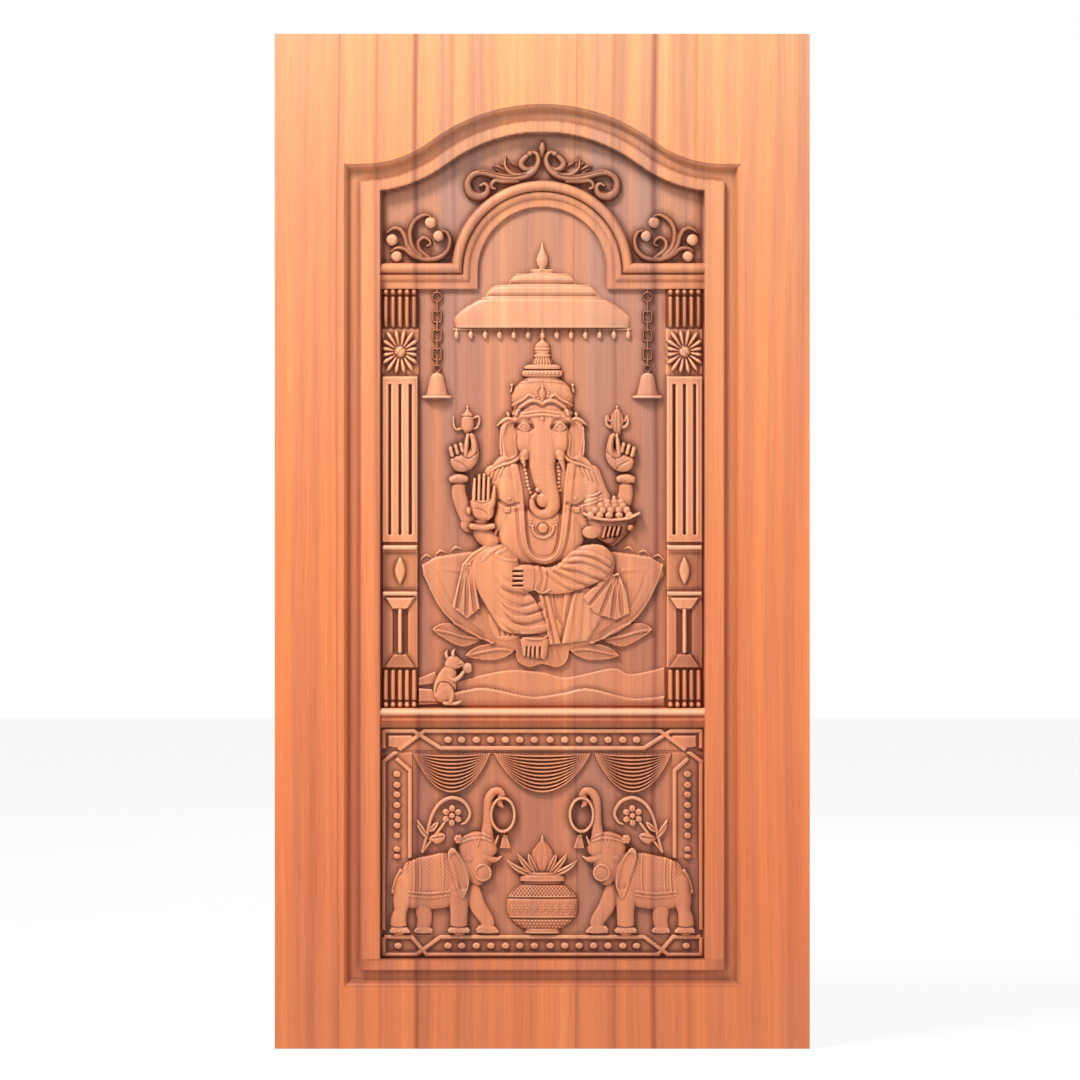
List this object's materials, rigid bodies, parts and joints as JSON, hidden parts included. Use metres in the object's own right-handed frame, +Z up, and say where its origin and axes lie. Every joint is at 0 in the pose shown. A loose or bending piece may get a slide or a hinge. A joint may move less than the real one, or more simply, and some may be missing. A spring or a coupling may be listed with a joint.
{
  "type": "carved door leaf",
  "caption": "Framed wooden door leaf with an arched sunk panel, mouldings, and planted relief carvings of a seated deity under a parasol, bells, pilasters and elephants.",
  "frame": {"origin": "middle of the leaf's bottom edge, at half its thickness", "axes": "+Z up the leaf, +Y through its thickness from the carved face to the back, +X to the right as the carved face is seen"},
  "size_m": [1.07, 0.05, 2.03],
  "materials": {
    "frame_teak": "satin",
    "panel_teak": "satin",
    "moulding_teak": "satin",
    "carved_teak": "satin"
  },
  "bodies": {
    "root": {"left_stile": "frame_teak", "right_stile": "frame_teak", "top_rail": "frame_teak", "bottom_rail": "frame_teak", "ground_panel": "panel_teak", "left_channel": "moulding_teak", "right_channel": "moulding_teak", "bottom_channel": "moulding_teak", "arch_channel": "moulding_teak", "left_band": "moulding_teak", "right_band": "moulding_teak", "bottom_band": "moulding_teak", "arch_band": "moulding_teak", "niche_arch": "moulding_teak", "base_cornice": "moulding_teak", "crest_carving": "carved_teak", "left_scroll": "carved_teak", "right_scroll": "carved_teak", "left_pilaster": "carved_teak", "right_pilaster": "carved_teak", "left_chain": "carved_teak", "right_chain": "carved_teak", "left_bell": "carved_teak", "right_bell": "carved_teak", "parasol": "carved_teak", "seated_deity": "carved_teak", "mouse": "carved_teak", "ground_hills": "carved_teak", "top_strapwork": "carved_teak", "bottom_strapwork": "carved_teak", "left_strapwork": "carved_teak", "right_strapwork": "carved_teak", "left_swag": "carved_teak", "middle_swag": "carved_teak", "right_swag": "carved_teak", "left_elephant": "carved_teak", "right_elephant": "carved_teak", "left_spray": "carved_teak", "right_spray": "carved_teak", "water_pot": "carved_teak"}
  },
  "joints": []
}
